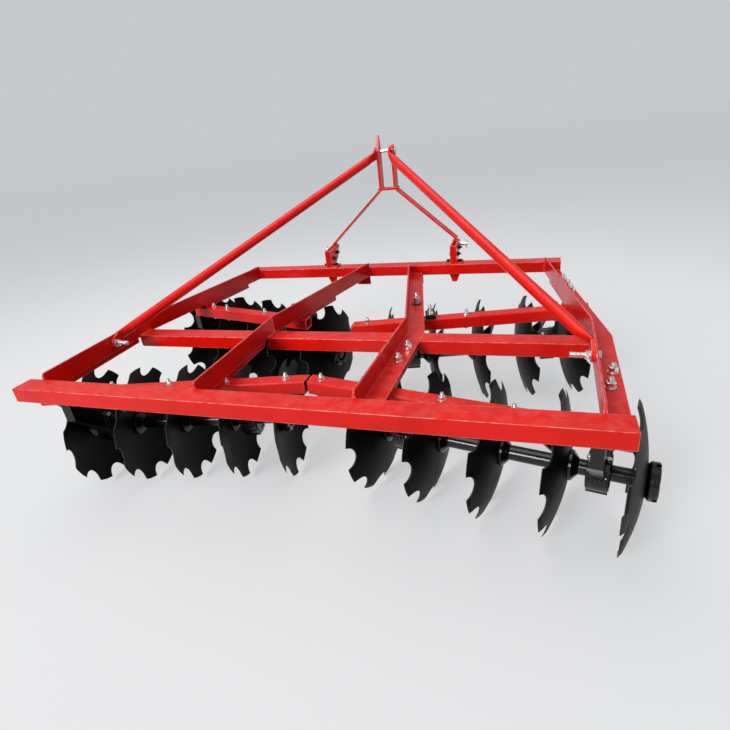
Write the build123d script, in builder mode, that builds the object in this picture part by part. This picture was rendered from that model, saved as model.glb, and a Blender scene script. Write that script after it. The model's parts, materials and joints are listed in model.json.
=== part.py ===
from build123d import *
import os
from math import cos, hypot, radians, sin, sqrt
from types import SimpleNamespace

os.makedirs("parts", exist_ok=True)

# A tandem disc harrow on a three-point hitch. Millimetres, x to the right, y forward to the tractor, z up.
# Frame places are given from the frame's middle line, the back of the rear bar and the top of the cross bars.

# Cross bars: hot-rolled angle, flange on top, leg down at the back
bar_flange = 76
bar_leg = 50
bar_wall = 6
rear_bar_length = 1934
front_bar_length = 1704
front_bar_back = 1451
middle_bar_back = 572
middle_bar_drop = 41
angle_root = 5
angle_toe = 3

# Rails: angle bent once in plan, leg up on the inner side, flange outward at the bottom
rail_size = 70
rail_wall = 6
rail_rise = 23
rail_bend_y = 647
rail_corner = 12
side_rail_x = SimpleNamespace(back=898, bend=916, front=778)
inner_rail_x = SimpleNamespace(back=261, bend=279, front=108.6)
cleat_height = 45
cleat_width = 74

# Pads between the rails and the gang beams
pad_width = 62
pad_wall = 5
rear_pad = SimpleNamespace(back=130, length=430)
front_side_pad = SimpleNamespace(back=1000, length=340)
front_inner_pad = SimpleNamespace(back=790, length=330)

# Gang beams: square-cornered box tube
beam_top_drop = 68
beam_width = 58
beam_height = 48
beam_wall = 5
beam_corner = 6
beam_middle_x = 18
rear_beam_reach = 975
front_beam_reach = 945

# Discs
disc_count = 5
disc_pitch = 206
disc_radius = 232
disc_thickness = 4
dish_depth = 44
disc_flat = 56
bevel_width = 13
edge_thickness = 1.2
notch_count = 9
notch_radius = 44
notch_setback = 6

# Gang shafts
axle_drop = 321
gang_middle_x = -18
bolt_square = 28
bolt_play = 0.3
spool_radius = 24.5
flare_radius = 48
flare_land = 9
flare_length = 28
cap_radius = 58
cap_length = 33
cap_slots = 6
cap_slot_width = 16
cap_slot_depth = 14
cap_chamfer = 4
cap_recess_radius = 38
nut_across = 46
nut_length = 22
bolt_tail = 4

# Bearings and hangers
bearing_play = 0.05
bearing_gap = 5
housing_radius = 62
housing_width = 60
housing_waist = 50
arm_width = 34
arm_head = 50
arm_drop = 42
arm_heel = 30
arm_toe = 62

# Scrapers
scraper_width = 40
scraper_wall = 8
scraper_gap = 6
scraper_bend_radius = 212
scraper_tip_radius = 150
scraper_tip_gap = 9

# Three-point hitch, category 1
hitch_reach = 134
lower_spread = 683
lower_pin_height = 75
lower_pin_radius = 11
lower_shank_radius = 10
lower_pin_reach = 57
pin_collar = 4
top_pin_height = 560
top_pin_radius = 9.5
top_pin_overhang = 8
flat_bar_width = 50
leg_wall = 10
upright_wall = 14
upright_spacing = 76
tip_top = 635
tip_width = 10
spreader_height = 378
spreader_wall = 12
foot_height = 48
foot_straight = 60
cheek_wall = 10
cheek_gap = 1
cheek_height = 92
cheek_nose = 26
base_width = 86
base_wall = 8
bracket_inset = 4
gusset_drop = 98
gusset_tip = 24
pin_head_step = 5
pin_head_wall = 6
pin_chamfer = 1.5

# Braces: round tube with flattened, bolted ends
brace_radius = 20
brace_ear_wall = 10
brace_ear_width = 44
brace_ear_length = 44
brace_flare = 60
brace_foot_y = 425
brace_foot_drop = 10
brace_hole = 9.9

pin_play = 0.4

# Gang rows: swing of the gangs from square, where beams and shafts cross the middle, and the side that
# the discs bulge to (1 is outward)
rows = SimpleNamespace(
    rear=SimpleNamespace(swing=-11.43, beam_y=307, axle_y=471, bulge=1, reach=rear_beam_reach),
    front=SimpleNamespace(swing=13.88, beam_y=805, axle_y=1000, bulge=-1, reach=front_beam_reach),
)

# Gangs: hand (1 is right), distance of the first disc's rim along the shaft from the middle, where the
# bearings sit in the free length of the first and last spools (-1 is inmost, 1 outmost), where the beam
# starts, how many scrapers it carries, and the angle of one tooth forward of down
gangs = [
    SimpleNamespace(name="rear_left", hand=-1, row=rows.rear, rim=139, bearings=(0.565, 0.592),
                    beam_start=-9, scrapers=5, tooth=14),
    SimpleNamespace(name="rear_right", hand=1, row=rows.rear, rim=226, bearings=(-0.698, -0.461),
                    beam_start=22, scrapers=4, tooth=9),
    SimpleNamespace(name="front_left", hand=-1, row=rows.front, rim=226, bearings=(0.593, 0.04),
                    beam_start=230, scrapers=4, tooth=8),
    SimpleNamespace(name="front_right", hand=1, row=rows.front, rim=138, bearings=(0.645, 0.593),
                    beam_start=8, scrapers=4, tooth=0),
]

# Worked out from the sizes above
hitch_y = front_bar_back + hitch_reach
rail_bottom = rail_rise - rail_size
beam_bottom = -beam_top_drop - beam_height
disc_span = disc_pitch * (disc_count - 1)
dish_sphere = (disc_radius**2 + dish_depth**2) / (2 * dish_depth)
frame_height = axle_drop + disc_radius
shaft_end = disc_thickness + cap_length
lower_pin_x = lower_spread / 2


def gang_reach(gang, distance, radius):
    """How far out from the frame's middle a ring of this radius on the shaft reaches."""
    swing = abs(radians(gang.row.swing))
    return gang.hand * gang_middle_x + cos(swing) * distance + sin(swing) * radius


# The part's origin lies on the ground under the middle of the whole harrow
right_reach = gang_reach(gangs[1], gangs[1].rim + disc_span + dish_depth + shaft_end, 0)
left_reach = gang_reach(gangs[2], gangs[2].rim + disc_span, disc_radius)
origin_x = (right_reach - left_reach) / 2
origin_y = (hitch_y + cheek_nose) / 2


def spot(x, y, z):
    """A place on the frame as a point of the part."""
    return (x - origin_x, y - origin_y, z + frame_height)


def plane_at(x, y, z, x_dir=(1, 0, 0), z_dir=(0, 0, 1)):
    return Plane(origin=spot(x, y, z), x_dir=x_dir, z_dir=z_dir)


def finish(piece, name):
    piece.part.label = name
    export_step(piece.part, f"parts/{name}.step")


# Frame


def angle_section(flange, leg, wall):
    """An angle's section: heel at the origin, flange along x, leg down."""
    with BuildSketch() as section:
        with BuildLine():
            Polyline((0, 0), (flange, 0), (flange, -wall), (wall, -wall), (wall, -leg), (0, -leg), close=True)
        make_face()
        fillet(section.vertices().sort_by_distance((wall, -wall))[0], angle_root)
        fillet(section.vertices().sort_by_distance((flange, -wall))[0], angle_toe)
        fillet(section.vertices().sort_by_distance((wall, -leg))[0], angle_toe)
    return section.sketch


def cross_bar(length, back, top):
    with BuildPart() as bar:
        with BuildSketch(plane_at(-length / 2, back, top, x_dir=(0, 1, 0), z_dir=(1, 0, 0))):
            add(angle_section(bar_flange, bar_leg, bar_wall))
        extrude(amount=length)
    return bar


def mitres(points):
    """The sideways step, to the right of each run, that keeps a band's width through its bends."""
    sides = [(far - near).normalized() for near, far in zip(points, points[1:])]
    sides = [Vector(along.Y, -along.X) for along in sides]
    inner = [(near + far) * (1 / (1 + near.dot(far))) for near, far in zip(sides, sides[1:])]
    return [sides[0], *inner, sides[-1]]


def band(points, near, far):
    """The outline of a band along a bent line, between two distances to its right."""
    steps = list(zip(points, mitres(points)))
    there = [point + step * near for point, step in steps]
    return there + [point + step * far for point, step in reversed(steps)]


def rail_line(line, back_y, front_y):
    """A right-hand rail's inner face in plan: where it starts, bends and ends."""
    back_slope = (line.bend - line.back) / rail_bend_y
    front_slope = (line.front - line.bend) / (front_bar_back - rail_bend_y)
    start = Vector(line.back + back_slope * back_y, back_y)
    end = Vector(line.bend + front_slope * (front_y - rail_bend_y), front_y)
    return [start, Vector(line.bend, rail_bend_y), end]


def rail_strip(line, hand, near, far):
    """The plan of a strip along a rail, between two distances out from its inner face, past both bars."""
    edge = band(rail_line(line, -rail_size, front_bar_back + rail_size), near, far)
    with BuildSketch() as strip:
        with BuildLine():
            Polyline(*[(hand * point.X - origin_x, point.Y - origin_y) for point in edge], close=True)
        make_face()
    return strip.sketch


def rail(line, hand):
    level = frame_height + rail_bottom
    cope = bar_wall + angle_root
    with BuildPart() as angle:
        with BuildSketch(Plane.XY.offset(level)):
            add(rail_strip(line, hand, 0, rail_size))
        extrude(amount=rail_wall)
        with BuildSketch(Plane.XY.offset(level)):
            add(rail_strip(line, hand, 0, rail_wall))
        extrude(amount=rail_size)
        corners = band(rail_line(line, 0, front_bar_back), rail_wall, 0)[:3]
        for near, far in zip(corners, corners[1:]):
            middle = (near + far) * 0.5
            root = spot(hand * middle.X, middle.Y, rail_bottom + rail_wall)
            fillet(angle.edges().sort_by_distance(root)[0], angle_root)
        # The ends butt on the bars: the leg stops at the rear bar's flange, the rest passes below it
        block = 4 * rail_size
        with Locations(spot(hand * line.back, cope, rail_bottom)):
            Box(block, block, block, align=(Align.CENTER, Align.MAX, Align.CENTER), mode=Mode.SUBTRACT)
        with Locations(spot(hand * line.back, bar_flange, -bar_wall)):
            Box(block, block, block, align=(Align.CENTER, Align.MAX, Align.MIN), mode=Mode.SUBTRACT)
        with Locations(spot(hand * line.front, front_bar_back, rail_bottom)):
            Box(block, block, block, align=(Align.CENTER, Align.MIN, Align.CENTER), mode=Mode.SUBTRACT)
        corner = spot(hand * line.back, bar_flange, rail_rise)
        fillet(angle.edges().filter_by(Axis.X).sort_by_distance(corner)[0], rail_corner)
    return angle


def middle_crossbar():
    """One angle cut where the four rails cross it."""
    with BuildPart() as bars:
        add(cross_bar(2 * side_rail_x.bend, middle_bar_back, -middle_bar_drop).part)
        with BuildSketch(Plane.XY.offset(frame_height - 3 * rail_size)):
            for hand in (-1, 1):
                add(rail_strip(side_rail_x, hand, 0, rail_size))
                add(rail_strip(inner_rail_x, hand, 0, rail_size))
        extrude(amount=4 * rail_size, mode=Mode.SUBTRACT)
    return bars


def cleats():
    """Plates welded under the inner rails' front ends, against the front bar."""
    with BuildPart() as plates:
        for hand in (-1, 1):
            left = inner_rail_x.front if hand > 0 else -inner_rail_x.front - cleat_width
            with Locations(spot(left, front_bar_back, rail_bottom)):
                Box(cleat_width, rail_wall, cleat_height, align=(Align.MIN, Align.MAX, Align.MAX))
    return plates


finish(cross_bar(rear_bar_length, 0, 0), "rear_bar")
finish(cross_bar(front_bar_length, front_bar_back, 0), "front_bar")
finish(middle_crossbar(), "middle_crossbar")
for hand, side in ((-1, "left"), (1, "right")):
    finish(rail(side_rail_x, hand), f"{side}_side_rail")
    finish(rail(inner_rail_x, hand), f"{side}_inner_rail")
finish(cleats(), "rail_cleats")


# Pads under the rails


def rail_pad(line, hand, pad):
    """A channel, open below, along the middle of a rail's flange, between the rail and a gang beam."""
    course = rail_line(line, 0, front_bar_back)
    near, far = course[:2] if pad.back < rail_bend_y else course[1:]
    along = (far - near).normalized()
    out = Vector(along.Y, -along.X)
    back = near + along * ((pad.back - near.Y) / along.Y) + out * (rail_size / 2)
    depth = rail_bottom + beam_top_drop
    heading = (hand * along.X, along.Y, 0)
    with BuildPart() as channel:
        with BuildSketch(plane_at(hand * back.X, back.Y, rail_bottom, x_dir=(0, 0, 1), z_dir=heading)):
            Rectangle(depth, pad_width, align=(Align.MAX, Align.CENTER))
            with Locations((-pad_wall, 0)):
                inside = pad_width - 2 * pad_wall
                Rectangle(depth, inside, align=(Align.MAX, Align.CENTER), mode=Mode.SUBTRACT)
        extrude(amount=pad.length)
    return channel


def pad_set(places):
    with BuildPart() as pads:
        for hand in (-1, 1):
            for line, pad in places:
                add(rail_pad(line, hand, pad).part)
    return pads


finish(pad_set([(side_rail_x, rear_pad), (inner_rail_x, rear_pad)]), "rear_rail_pads")
finish(pad_set([(side_rail_x, front_side_pad), (inner_rail_x, front_inner_pad)]), "front_rail_pads")


# Gangs


def outward(gang):
    swing = radians(gang.row.swing)
    return Vector(gang.hand * cos(swing), sin(swing), 0)


def forward(gang):
    swing = radians(gang.row.swing)
    return Vector(-gang.hand * sin(swing), cos(swing), 0)


def shaft_point(gang, distance, ahead=0, above=0):
    """A point by its distance out along a gang's shaft, and ahead of and above the shaft."""
    middle = Vector(*spot(gang_middle_x, gang.row.axle_y, -axle_drop))
    return middle + outward(gang) * distance + forward(gang) * ahead + Vector(0, 0, above)


def across_shaft(gang, distance):
    """The plane square to a gang's shaft, its x pointing down."""
    return Plane(origin=shaft_point(gang, distance), x_dir=(0, 0, -1), z_dir=outward(gang))


def along_shaft(gang, distance):
    """The upright plane through a gang's shaft, x out from the shaft, y outward along it."""
    down = Vector(0, 0, -1)
    return Plane(origin=shaft_point(gang, distance), x_dir=down, z_dir=down.cross(outward(gang)))


def shaft_axis(gang):
    return Axis(shaft_point(gang, 0), outward(gang))


def beam_offset(gang):
    """How far the middle of the gang's beam lies ahead of the shaft (it is behind, so below zero)."""
    gap = Vector(beam_middle_x - gang_middle_x, gang.row.beam_y - gang.row.axle_y, 0)
    return gap.dot(forward(gang))


def gang_beam(gang):
    """Box tube along a gang, both ends cut in line with the frame."""
    start = Vector(*spot(beam_middle_x, gang.row.beam_y, -beam_top_drop - beam_height / 2))
    spare = 2 * beam_width
    back = start - outward(gang) * spare
    with BuildPart() as beam:
        with BuildSketch(Plane(origin=back, x_dir=(0, 0, 1), z_dir=outward(gang))):
            RectangleRounded(beam_height, beam_width, beam_corner)
            inside = (beam_height - 2 * beam_wall, beam_width - 2 * beam_wall)
            RectangleRounded(*inside, beam_corner - beam_wall / 2, mode=Mode.SUBTRACT)
        extrude(amount=gang.row.reach + 2 * spare)
        for end, inward in ((gang.beam_start, 1), (gang.row.reach, -1)):
            cut = plane_at(gang.hand * end, 0, 0, x_dir=(0, 1, 0), z_dir=(gang.hand * inward, 0, 0))
            split(bisect_by=cut, keep=Keep.TOP)
    return beam


def dish(radius):
    """How far the hollow face of a disc lies behind its rim."""
    return sqrt(dish_sphere**2 - radius**2) - (dish_sphere - dish_depth)


def disc_rims(gang):
    return [gang.rim + disc_pitch * number for number in range(disc_count)]


def disc_faces(gang, rim):
    """Where a disc's flat middle begins and ends along the shaft."""
    hollow = rim + gang.row.bulge * dish(disc_flat)
    swell = hollow + gang.row.bulge * disc_thickness
    return min(hollow, swell), max(hollow, swell)


def bearing_places(gang):
    """Where the gang's two bearing housings sit along the shaft."""
    rims = disc_rims(gang)
    spots = []
    for near, far, share in ((rims[0], rims[1], gang.bearings[0]), (rims[-2], rims[-1], gang.bearings[1])):
        start = disc_faces(gang, near)[1] + flare_length
        end = disc_faces(gang, far)[0] - flare_length
        play = (end - start - housing_width) / 2 - bearing_gap
        spots.append((start + end) / 2 + share * play)
    return spots


def discs(gang):
    """Notched, dished discs with a square hole for the gang bolt."""
    side = gang.row.bulge
    shoulder = disc_radius - bevel_width
    middle = (disc_flat + disc_radius) / 2
    hollow = dish(disc_flat)
    swell = hollow + disc_thickness
    ground = dish(shoulder) + disc_thickness
    between = (disc_flat + shoulder) / 2
    with BuildPart() as blades:
        for rim in disc_rims(gang):
            with BuildSketch(along_shaft(gang, rim)):
                with BuildLine():
                    Line((0, side * hollow), (disc_flat, side * hollow))
                    ThreePointArc((disc_flat, side * hollow), (middle, side * dish(middle)), (disc_radius, 0))
                    Line((disc_radius, 0), (disc_radius, side * edge_thickness))
                    Line((disc_radius, side * edge_thickness), (shoulder, side * ground))
                    ThreePointArc(
                        (shoulder, side * ground), (between, side * (dish(between) + disc_thickness)),
                        (disc_flat, side * swell),
                    )
                    Line((disc_flat, side * swell), (0, side * swell))
                    Line((0, side * swell), (0, side * hollow))
                make_face()
            revolve(axis=shaft_axis(gang))
            with BuildSketch(across_shaft(gang, rim)):
                first = gang.hand * gang.tooth + 180 / notch_count
                with PolarLocations(disc_radius + notch_setback, notch_count, start_angle=first):
                    Circle(notch_radius)
                Rectangle(bolt_square + 2 * bolt_play, bolt_square + 2 * bolt_play)
            extrude(amount=2 * dish_depth, both=True, mode=Mode.SUBTRACT)
    return blades


def spools(gang):
    """Cast spacers, flared at both ends, clamped between the discs. The gangs' bearings run on them."""
    rims = disc_rims(gang)
    with BuildPart() as spacers:
        for near, far in zip(rims, rims[1:]):
            start = disc_faces(gang, near)[1]
            length = disc_faces(gang, far)[0] - start
            with BuildSketch(along_shaft(gang, start)):
                with BuildLine():
                    Polyline(
                        (0, 0), (flare_radius, 0), (flare_radius, flare_land), (spool_radius, flare_length),
                        (spool_radius, length - flare_length), (flare_radius, length - flare_land),
                        (flare_radius, length), (0, length), close=True,
                    )
                make_face()
            revolve(axis=shaft_axis(gang))
            with BuildSketch(across_shaft(gang, start)):
                Rectangle(bolt_square + 2 * bolt_play, bolt_square + 2 * bolt_play)
            extrude(amount=length, mode=Mode.SUBTRACT)
    return spacers


def end_caps(gang):
    """Castings that clamp the outer faces of the first and last discs, notched round their outer edge."""
    rims = disc_rims(gang)
    inner = disc_faces(gang, rims[0])[0]
    outer = disc_faces(gang, rims[-1])[1]
    with BuildPart() as caps:
        for face, side in ((inner, -1), (outer, 1)):
            with BuildSketch(along_shaft(gang, face)):
                with BuildLine():
                    Polyline(
                        (0, 0), (flare_radius, 0), (cap_radius, side * flare_land),
                        (cap_radius, side * (cap_length - cap_chamfer)),
                        (cap_radius - cap_chamfer, side * cap_length), (0, side * cap_length), close=True,
                    )
                make_face()
            revolve(axis=shaft_axis(gang))
            with BuildSketch(across_shaft(gang, face + side * cap_length)):
                with PolarLocations(cap_radius, cap_slots):
                    Rectangle(2 * cap_slot_depth, cap_slot_width)
            extrude(amount=-side * cap_slot_depth, mode=Mode.SUBTRACT)
            with BuildSketch(across_shaft(gang, face + side * cap_length)):
                Circle(cap_recess_radius)
            extrude(amount=-side * (nut_length + bolt_tail), mode=Mode.SUBTRACT)
            with BuildSketch(across_shaft(gang, face)):
                Rectangle(bolt_square + 2 * bolt_play, bolt_square + 2 * bolt_play)
            extrude(amount=side * cap_length, mode=Mode.SUBTRACT)
    return caps


def gang_bolt(gang):
    """The square bolt through a whole gang, its head and its nut sunk in the end caps."""
    rims = disc_rims(gang)
    start = disc_faces(gang, rims[0])[0] - cap_length
    end = disc_faces(gang, rims[-1])[1] + cap_length
    with BuildPart() as bolt:
        with BuildSketch(across_shaft(gang, start)):
            Rectangle(bolt_square, bolt_square)
        extrude(amount=end - start)
        for face in (start + bolt_tail, end - bolt_tail - nut_length):
            with BuildSketch(across_shaft(gang, face)):
                RegularPolygon(nut_across / 2, 6, major_radius=False)
            extrude(amount=nut_length)
    return bolt


# Bearings and scrapers, which hang from the beams


def hangers(gang):
    """Cast bearing housings on arms bolted under the beam."""
    beam = beam_offset(gang)
    above = axle_drop + beam_bottom
    knee = above - arm_drop
    outline = [
        (beam - arm_head / 2, above), (beam + arm_head / 2, above), (beam + arm_head / 2, knee),
        (housing_waist - arm_toe, housing_radius), (-housing_waist, 0),
        (beam - arm_head / 2, knee - arm_heel),
    ]
    with BuildPart() as castings:
        for distance in bearing_places(gang):
            with BuildSketch(across_shaft(gang, distance)):
                Circle(housing_radius)
                Rectangle(housing_radius, 2 * housing_waist, align=(Align.MAX, Align.CENTER))
            extrude(amount=housing_width / 2, both=True)
            with BuildSketch(across_shaft(gang, distance)):
                with BuildLine():
                    Polyline(*[(-rise, gang.hand * ahead) for ahead, rise in outline], close=True)
                make_face()
            extrude(amount=arm_width / 2, both=True)
            with BuildSketch(across_shaft(gang, distance)):
                Circle(spool_radius + bearing_play)
            extrude(amount=housing_width / 2, both=True, mode=Mode.SUBTRACT)
    return castings


def scrapers(gang):
    """Bent flat bars under the beam, one for each disc it reaches, with their tips in the discs' hollows."""
    side = gang.row.bulge
    beam = beam_offset(gang)
    rise = axle_drop + beam_bottom
    up = (forward(gang) * beam + Vector(0, 0, rise)).normalized()
    length = hypot(beam, rise) + scraper_width
    gap = -side * scraper_gap
    wall = -side * scraper_wall
    tip = side * (dish(scraper_tip_radius) - scraper_tip_gap)
    profile = [
        (length, gap), (scraper_bend_radius, gap), (scraper_tip_radius, tip),
        (scraper_tip_radius, tip + wall), (scraper_bend_radius, gap + wall), (length, gap + wall),
    ]
    with BuildPart() as bars:
        for rim in disc_rims(gang)[:gang.scrapers]:
            with BuildSketch(Plane(origin=shaft_point(gang, rim), x_dir=up, z_dir=up.cross(outward(gang)))):
                with BuildLine():
                    Polyline(*profile, close=True)
                make_face()
            extrude(amount=scraper_width / 2, both=True)
        split(bisect_by=plane_at(0, 0, beam_bottom), keep=Keep.BOTTOM)
    return bars


for gang in gangs:
    finish(gang_beam(gang), f"{gang.name}_gang_beam")
    finish(hangers(gang), f"{gang.name}_bearing_hangers")
    finish(scrapers(gang), f"{gang.name}_scrapers")
    finish(discs(gang), f"{gang.name}_discs")
    finish(spools(gang), f"{gang.name}_spools")
    finish(end_caps(gang), f"{gang.name}_end_caps")
    finish(gang_bolt(gang), f"{gang.name}_gang_bolt")


# Hitch


def beside_hitch(x):
    """The upright plane in line with the frame at a distance from its middle: x forward, y up."""
    return Plane(origin=spot(x, 0, 0), x_dir=(0, 1, 0), z_dir=(1, 0, 0))


def facing_hitch(y):
    """The upright plane across the frame, seen from the back: x to the right, y up."""
    return Plane(origin=spot(0, y, 0), x_dir=(1, 0, 0), z_dir=(0, -1, 0))


def mast_legs():
    """Two bent flat bars from the lower hitch brackets up to the spreader."""
    foot = Vector(lower_pin_x, foot_height)
    knee = Vector(lower_pin_x, foot_height + foot_straight)
    top = Vector(upright_spacing / 2, spreader_height)
    past = top + (top - knee).normalized() * flat_bar_width
    outline = band([foot, knee, past], -leg_wall / 2, leg_wall / 2)
    with BuildPart() as legs:
        for hand in (-1, 1):
            with BuildSketch(facing_hitch(hitch_y)):
                with BuildLine():
                    Polyline(*[(hand * point.X, point.Y) for point in outline], close=True)
                make_face()
            extrude(amount=flat_bar_width / 2, both=True)
            with BuildSketch(beside_hitch(hand * lower_pin_x)):
                with Locations((hitch_y, lower_pin_height)):
                    Circle(lower_shank_radius + pin_play)
            extrude(amount=leg_wall, both=True, mode=Mode.SUBTRACT)
        split(bisect_by=plane_at(0, 0, spreader_height - spreader_wall / 2), keep=Keep.BOTTOM)
    return legs


def mast_spreader():
    length = upright_spacing + 2 * upright_wall
    with BuildPart() as bar:
        with Locations(spot(0, hitch_y, spreader_height)):
            Box(length, flat_bar_width, spreader_wall)
        chamfer(bar.edges().filter_by(Axis.Y).group_by(Axis.Z)[0], spreader_wall / 3)
    return bar


def mast_uprights():
    """Flat bars on the spreader that carry the top pin. The left one runs on to a point."""
    base = spreader_height + spreader_wall / 2
    half = flat_bar_width / 2
    with BuildPart() as uprights:
        for hand in (-1, 1):
            with BuildSketch(beside_hitch(hand * upright_spacing / 2)):
                with Locations((hitch_y, base)):
                    Rectangle(flat_bar_width, top_pin_height - base, align=(Align.CENTER, Align.MIN))
                with Locations((hitch_y, top_pin_height)):
                    Circle(half)
                if hand < 0:
                    with BuildLine():
                        Polyline(
                            (hitch_y - half, top_pin_height), (hitch_y - tip_width / 2, tip_top),
                            (hitch_y + tip_width / 2, tip_top), (hitch_y + half, top_pin_height), close=True,
                        )
                    make_face()
                with Locations((hitch_y, top_pin_height)):
                    Circle(top_pin_radius + pin_play, mode=Mode.SUBTRACT)
            extrude(amount=upright_wall / 2, both=True)
    return uprights


def top_pin():
    """The pin across both uprights and the braces' ears, with a head on the left."""
    left = -upright_spacing / 2 - upright_wall / 2 - brace_ear_wall
    right = upright_spacing / 2 + upright_wall / 2
    with BuildPart() as pin:
        with BuildSketch(beside_hitch(left)):
            with Locations((hitch_y, top_pin_height)):
                Circle(top_pin_radius)
        extrude(amount=right - left + top_pin_overhang)
        with BuildSketch(beside_hitch(left)):
            with Locations((hitch_y, top_pin_height)):
                Circle(top_pin_radius + pin_head_step)
        extrude(amount=-pin_head_wall)
        chamfer(pin.edges().filter_by(GeomType.CIRCLE).sort_by(Axis.X)[-1], pin_chamfer)
    return pin


def lower_pins():
    """The lower link pins: a shank through each bracket, a collar against it and the free end outside."""
    shoulder = leg_wall / 2 + cheek_gap + cheek_wall
    turned = [
        (-shoulder - pin_head_wall, -shoulder, lower_pin_radius + pin_head_step),
        (-shoulder, shoulder, lower_shank_radius),
        (shoulder, shoulder + pin_collar, lower_pin_radius + pin_head_step),
        (shoulder + pin_collar, lower_pin_reach, lower_pin_radius),
    ]
    with BuildPart() as pins:
        for hand in (-1, 1):
            for near, far, radius in turned:
                with BuildSketch(beside_hitch(hand * (lower_pin_x + near))):
                    with Locations((hitch_y, lower_pin_height)):
                        Circle(radius)
                extrude(amount=hand * (far - near))
    return pins


def lower_brackets():
    """Channels of plate on the front bar that hold the legs' feet, with a gusset clamped under the bar."""
    back = front_bar_back + bracket_inset
    base_depth = bar_flange - 2 * bracket_inset
    hollow_depth = hitch_y + cheek_nose - back
    clamp_back = front_bar_back + bar_wall + angle_root
    clamp_depth = bar_flange - bar_wall - angle_root - bracket_inset
    inner = leg_wall / 2 + cheek_gap
    outer = inner + cheek_wall
    with BuildPart() as brackets:
        for hand in (-1, 1):
            middle = hand * lower_pin_x
            with Locations(spot(middle, back, 0)):
                Box(base_width, base_depth, base_wall, align=(Align.CENTER, Align.MIN, Align.MIN))
            with BuildSketch(beside_hitch(middle)):
                with BuildLine():
                    Polyline(
                        (back, base_wall), (back, cheek_height), (hitch_y, lower_pin_height + cheek_nose),
                        (hitch_y, lower_pin_height - cheek_nose), (back + base_depth, base_wall), close=True,
                    )
                make_face()
                with Locations((hitch_y, lower_pin_height)):
                    Circle(cheek_nose)
                    Circle(lower_shank_radius + pin_play, mode=Mode.SUBTRACT)
            extrude(amount=outer, both=True)
            with Locations(spot(middle, back + cheek_wall, base_wall)):
                open_front = (Align.CENTER, Align.MIN, Align.MIN)
                Box(2 * inner, hollow_depth, 2 * cheek_height, align=open_front, mode=Mode.SUBTRACT)
            with Locations(spot(middle, clamp_back, -bar_wall)):
                Box(base_width, clamp_depth, base_wall, align=(Align.CENTER, Align.MIN, Align.MAX))
            with BuildSketch(facing_hitch(front_bar_back + bar_flange / 2)):
                with BuildLine():
                    Polyline(
                        (middle - base_width / 2, -bar_wall - base_wall),
                        (middle + base_width / 2, -bar_wall - base_wall),
                        (middle + gusset_tip / 2, -gusset_drop), (middle - gusset_tip / 2, -gusset_drop),
                        close=True,
                    )
                make_face()
            extrude(amount=base_wall / 2, both=True)
    return brackets


def brace_ear(centre, normal, along):
    """A flat ear, round at the bolt and square where the tube's flattened end begins."""
    with BuildPart() as ear:
        with BuildSketch(Plane(origin=centre, x_dir=along, z_dir=normal)):
            Circle(brace_ear_width / 2)
            Rectangle(brace_ear_length, brace_ear_width, align=(Align.MIN, Align.CENTER))
            Circle(brace_hole, mode=Mode.SUBTRACT)
        extrude(amount=brace_ear_wall / 2, both=True)
    return ear


def brace(hand):
    """A round tube from the top pin to the inner face of a side rail."""
    across = Vector(1, 0, 0)
    ear_step = upright_wall / 2 + brace_ear_wall / 2
    near = -upright_spacing / 2 - ear_step if hand < 0 else upright_spacing / 2 - ear_step
    top = Vector(*spot(near, hitch_y, top_pin_height))
    start, bend, _ = rail_line(side_rail_x, 0, front_bar_back)
    rail_run = (bend - start).normalized()
    rail_out = Vector(hand * rail_run.Y, -rail_run.X, 0)
    face_x = start.X + rail_run.X / rail_run.Y * brace_foot_y
    foot = Vector(*spot(hand * face_x, brace_foot_y, -brace_foot_drop)) - rail_out * (brace_ear_wall / 2)
    span = foot - top
    top_run = (span - across * span.dot(across)).normalized()
    foot_run = -(span - rail_out * span.dot(rail_out)).normalized()
    top_root = top + top_run * brace_ear_length
    foot_root = foot + foot_run * brace_ear_length
    tube_run = (foot_root - top_root).normalized()
    tube_start = top_root + tube_run * brace_flare
    tube_length = (foot_root - top_root).length - 2 * brace_flare
    with BuildPart() as tube:
        add(brace_ear(top, across, top_run).part)
        add(brace_ear(foot, rail_out, foot_run).part)
        with BuildSketch(Plane(origin=tube_start, x_dir=across.cross(tube_run), z_dir=tube_run)):
            Circle(brace_radius)
        extrude(amount=tube_length)
        with BuildSketch(Plane(origin=top_root, x_dir=across.cross(top_run), z_dir=top_run)):
            Ellipse(brace_ear_width / 2, brace_ear_wall / 2)
        with BuildSketch(Plane(origin=tube_start, x_dir=across.cross(tube_run), z_dir=tube_run)):
            Circle(brace_radius)
        loft()
        with BuildSketch(Plane(origin=foot_root, x_dir=rail_out.cross(foot_run), z_dir=-foot_run)):
            Ellipse(brace_ear_width / 2, brace_ear_wall / 2)
        with BuildSketch(Plane(origin=foot_root - tube_run * brace_flare, x_dir=rail_out.cross(foot_run),
                               z_dir=tube_run)):
            Circle(brace_radius)
        loft()
    return tube


def braces():
    with BuildPart() as pair:
        for hand in (-1, 1):
            add(brace(hand).part)
    return pair


finish(mast_legs(), "mast_legs")
finish(mast_spreader(), "mast_spreader")
finish(mast_uprights(), "mast_uprights")
finish(top_pin(), "top_link_pin")
finish(lower_pins(), "lower_link_pins")
finish(lower_brackets(), "lower_hitch_brackets")
finish(braces(), "mast_braces")
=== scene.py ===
import json
import math

import bpy
from mathutils import Matrix, Vector


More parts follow.
